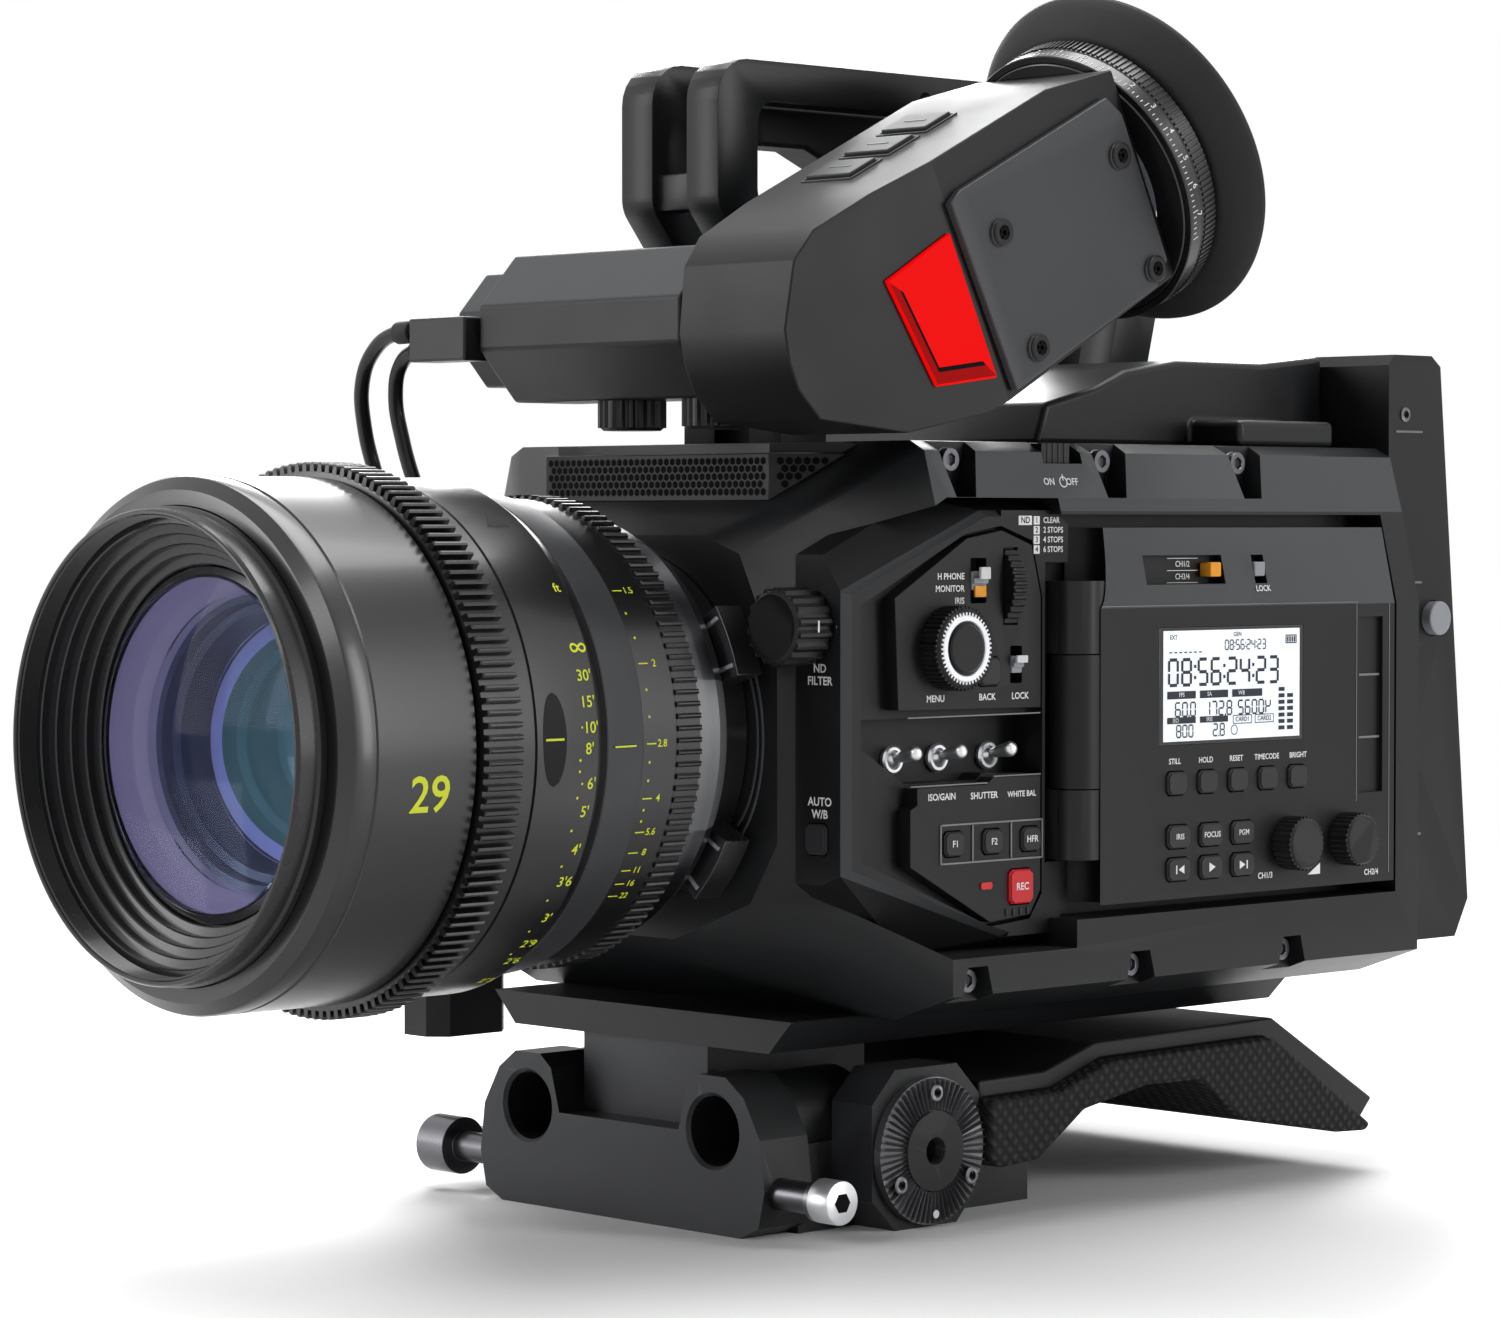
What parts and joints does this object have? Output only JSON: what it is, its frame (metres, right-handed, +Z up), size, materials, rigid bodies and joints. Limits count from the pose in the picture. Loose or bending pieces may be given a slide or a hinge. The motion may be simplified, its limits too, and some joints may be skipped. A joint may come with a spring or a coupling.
{
  "type": "digital cinema camera",
  "caption": "Digital cinema camera with a prime lens, tilting viewfinder on a sliding arm, top handle, monitor door, control panel, side grip and shoulder base.",
  "frame": {"origin": "centre of the tripod socket's mouth in the underside of the base, which is the plane the camera stands on", "axes": "+Z up, -Y the way the lens looks, +X towards the operator's side with the control panel and the monitor door"},
  "size_m": [0.1985, 0.3409, 0.2665],
  "materials": {
    "lens_black": "semi-gloss black anodised look",
    "optical_glass": "coated optical glass",
    "lens_rings": "satin black, fine toothed",
    "steel": "turned steel",
    "shell_cast": null,
    "grille_mesh": "black punched sheet",
    "black_plastic": "fine-textured black plastic",
    "knob_black": "fluted black knob",
    "key_plastic": "satin grey key",
    "switch_grey": "grey slider",
    "chrome_lever": "polished chrome",
    "key_red": "gloss red key",
    "window_clear": "clear display cover",
    "switch_orange": "orange slider",
    "painted_black": "satin black paint",
    "rubber_black": "matt black rubber",
    "dark_metal": "textured dark grey paint",
    "tally_red": "translucent red lens",
    "eye_glass": "coated optical glass",
    "grey_alloy": "bead-blasted grey",
    "pad_fabric": "woven black pad cover"
  },
  "bodies": {
    "body": {"lens_front_barrel": "lens_black", "filter_ring": "lens_black", "front_element": "optical_glass", "lens_core": "lens_black", "mount_plate": "steel", "chassis": "shell_cast", "mic_grille": "grille_mesh", "top_deck": "shell_cast", "control_bezel": "black_plastic", "control_panel": "black_plastic", "battery_plate": "black_plastic", "case_screws": "steel", "top_handle": "painted_black", "handle_grip": "rubber_black", "vf_rail": "painted_black", "vf_cable": "rubber_black", "hand_grip": "rubber_black", "base_block": "dark_metal", "rosette": "grey_alloy", "shoulder_plate": "dark_metal", "shoulder_pad": "pad_fabric"},
    "focus": {"focus_ring": "lens_rings"},
    "iris": {"iris_ring": "lens_rings"},
    "breech": {"breech_ring": "steel"},
    "nd": {"nd_knob": "knob_black"},
    "awb": {"awb_button": "key_plastic"},
    "selector": {"selector_switch": "switch_grey"},
    "thumb": {"thumb_wheel": "knob_black"},
    "menu": {"menu_wheel": "knob_black"},
    "back": {"back_button": "key_plastic"},
    "lock": {"lock_switch": "switch_grey"},
    "switch_iso": {"toggle_iso": "chrome_lever"},
    "switch_shutter": {"toggle_shutter": "chrome_lever"},
    "switch_wb": {"toggle_wb": "chrome_lever"},
    "f1": {"f1_key": "key_plastic"},
    "f2": {"f2_key": "key_plastic"},
    "hfr": {"hfr_key": "key_plastic"},
    "rec": {"rec_key": "key_red"},
    "power": {"power_switch": "knob_black"},
    "door": {"monitor_door": "black_plastic", "door_window": "window_clear"},
    "channel": {"channel_switch": "switch_orange"},
    "door_lock": {"door_lock_switch": "switch_grey"},
    "status": {"status_keys": "key_plastic"},
    "transport": {"transport_keys": "key_plastic"},
    "gain_a": {"gain_knob_a": "knob_black"},
    "gain_b": {"gain_knob_b": "knob_black"},
    "release": {"battery_release": "switch_grey"},
    "arm": {"vf_arm": "dark_metal"},
    "knob_a": {"vf_knob_a": "knob_black"},
    "knob_b": {"vf_knob_b": "knob_black"},
    "finder": {"vf_housing": "black_plastic", "vf_side_plate": "black_plastic", "vf_tally": "tally_red", "vf_eyepiece": "black_plastic", "vf_glass": "eye_glass", "vf_eyecup": "rubber_black"},
    "finder_keys": {"vf_buttons": "rubber_black"},
    "diopter": {"vf_diopter": "lens_black"},
    "clamp": {"clamp_lever": "steel"}
  },
  "joints": [
    {"name": "focus_turn", "type": "hinge", "parent": "body", "child": "focus", "pos_m": [0, -0.095, 0.107], "axis": [0, 1, 0], "range_deg": [-260, 25]},
    {"name": "iris_turn", "type": "hinge", "parent": "body", "child": "iris", "pos_m": [0, -0.058, 0.107], "axis": [0, 1, 0], "range_deg": [-62, 43]},
    {"name": "breech_turn", "type": "hinge", "parent": "body", "child": "breech", "pos_m": [0, -0.032, 0.107], "axis": [0, 1, 0], "range_deg": [0, 60]},
    {"name": "nd_turn", "type": "hinge", "parent": "body", "child": "nd", "pos_m": [0.0555, -0.032, 0.13], "axis": [0, 1, 0], "continuous": true},
    {"name": "awb_press", "type": "slide", "parent": "body", "child": "awb", "axis": [0, 1, 0], "range_m": [0, 0.0006], "stiffness_N_per_m": 400},
    {"name": "selector_slide", "type": "slide", "parent": "body", "child": "selector", "axis": [0, 0, 1], "range_m": [-0.0025, 0.0025]},
    {"name": "thumb_turn", "type": "hinge", "parent": "body", "child": "thumb", "pos_m": [0.0598, 0.0246, 0.138], "axis": [0, 1, 0], "continuous": true},
    {"name": "menu_turn", "type": "hinge", "parent": "body", "child": "menu", "pos_m": [0.07, 0.0054, 0.1251], "axis": [1, 0, 0], "continuous": true},
    {"name": "back_press", "type": "slide", "parent": "body", "child": "back", "axis": [-1, 0, 0], "range_m": [0, 0.0006], "stiffness_N_per_m": 400},
    {"name": "lock_slide", "type": "slide", "parent": "body", "child": "lock", "axis": [0, 0, 1], "range_m": [-0.002, 0.002]},
    {"name": "toggle_iso_tilt", "type": "hinge", "parent": "body", "child": "switch_iso", "pos_m": [0.058, -0.0028, 0.1014], "axis": [0, 1, 0], "range_deg": [-15, 15], "stiffness_Nm_per_rad": 0.02},
    {"name": "toggle_shutter_tilt", "type": "hinge", "parent": "body", "child": "switch_shutter", "pos_m": [0.058, 0.01101, 0.1014], "axis": [0, 1, 0], "range_deg": [-15, 15], "stiffness_Nm_per_rad": 0.02},
    {"name": "toggle_wb_tilt", "type": "hinge", "parent": "body", "child": "switch_wb", "pos_m": [0.058, 0.02658, 0.1014], "axis": [0, 1, 0], "range_deg": [-15, 15], "stiffness_Nm_per_rad": 0.02},
    {"name": "f1_press", "type": "slide", "parent": "body", "child": "f1", "axis": [-1, 0, 0], "range_m": [0, 0.0006], "stiffness_N_per_m": 400},
    {"name": "f2_press", "type": "slide", "parent": "body", "child": "f2", "axis": [-1, 0, 0], "range_m": [0, 0.0006], "stiffness_N_per_m": 400},
    {"name": "hfr_press", "type": "slide", "parent": "body", "child": "hfr", "axis": [-1, 0, 0], "range_m": [0, 0.0006], "stiffness_N_per_m": 400},
    {"name": "rec_press", "type": "slide", "parent": "body", "child": "rec", "axis": [-1, 0, 0], "range_m": [0, 0.0006], "stiffness_N_per_m": 400},
    {"name": "power_slide", "type": "slide", "parent": "body", "child": "power", "axis": [0, 1, 0], "range_m": [0, 0.003]},
    {"name": "door_hinge", "type": "hinge", "parent": "body", "child": "door", "pos_m": [0.0688, 0.0442, 0.107], "axis": [0, 0, -1], "range_deg": [0, 90]},
    {"name": "channel_slide", "type": "slide", "parent": "door", "child": "channel", "axis": [0, 0, 1], "range_m": [-0.0013, 0.0013]},
    {"name": "door_lock_slide", "type": "slide", "parent": "door", "child": "door_lock", "axis": [0, 0, 1], "range_m": [-0.0013, 0.0013]},
    {"name": "status_press", "type": "slide", "parent": "door", "child": "status", "axis": [-1, 0, 0], "range_m": [0, 0.0006], "stiffness_N_per_m": 400},
    {"name": "transport_press", "type": "slide", "parent": "door", "child": "transport", "axis": [-1, 0, 0], "range_m": [0, 0.0006], "stiffness_N_per_m": 400},
    {"name": "gain_a_turn", "type": "hinge", "parent": "door", "child": "gain_a", "pos_m": [0.078, 0.109, 0.0792], "axis": [1, 0, 0], "range_deg": [-150, 150]},
    {"name": "gain_b_turn", "type": "hinge", "parent": "door", "child": "gain_b", "pos_m": [0.078, 0.1292, 0.0792], "axis": [1, 0, 0], "range_deg": [-150, 150]},
    {"name": "release_press", "type": "slide", "parent": "body", "child": "release", "axis": [-1, 0, 0], "range_m": [0, 0.0006], "stiffness_N_per_m": 400},
    {"name": "arm_slide", "type": "slide", "parent": "body", "child": "arm", "axis": [1, 0, 0], "range_m": [0, 0.012]},
    {"name": "knob_a_turn", "type": "hinge", "parent": "arm", "child": "knob_a", "pos_m": [0.007, -0.03, 0.175], "axis": [0, 0, 1], "range_deg": [-180, 180]},
    {"name": "knob_b_turn", "type": "hinge", "parent": "arm", "child": "knob_b", "pos_m": [0.0335, -0.03, 0.175], "axis": [0, 0, 1], "range_deg": [-180, 180]},
    {"name": "finder_tilt", "type": "hinge", "parent": "arm", "child": "finder", "pos_m": [0.045, -0.03, 0.194], "axis": [1, 0, 0], "range_deg": [-2, 45]},
    {"name": "finder_keys_press", "type": "slide", "parent": "finder", "child": "finder_keys", "axis": [0, 0.4384, -0.8988], "range_m": [0, 0.0008], "stiffness_N_per_m": 400},
    {"name": "diopter_turn", "type": "hinge", "parent": "finder", "child": "diopter", "pos_m": [0.06, 0.05663, 0.22624], "axis": [0, 0.8988, 0.4384], "range_deg": [-120, 120]},
    {"name": "clamp_turn", "type": "hinge", "parent": "body", "child": "clamp", "pos_m": [0, -0.023, 0.0098], "axis": [1, 0, 0], "range_deg": [0, 90]}
  ]
}
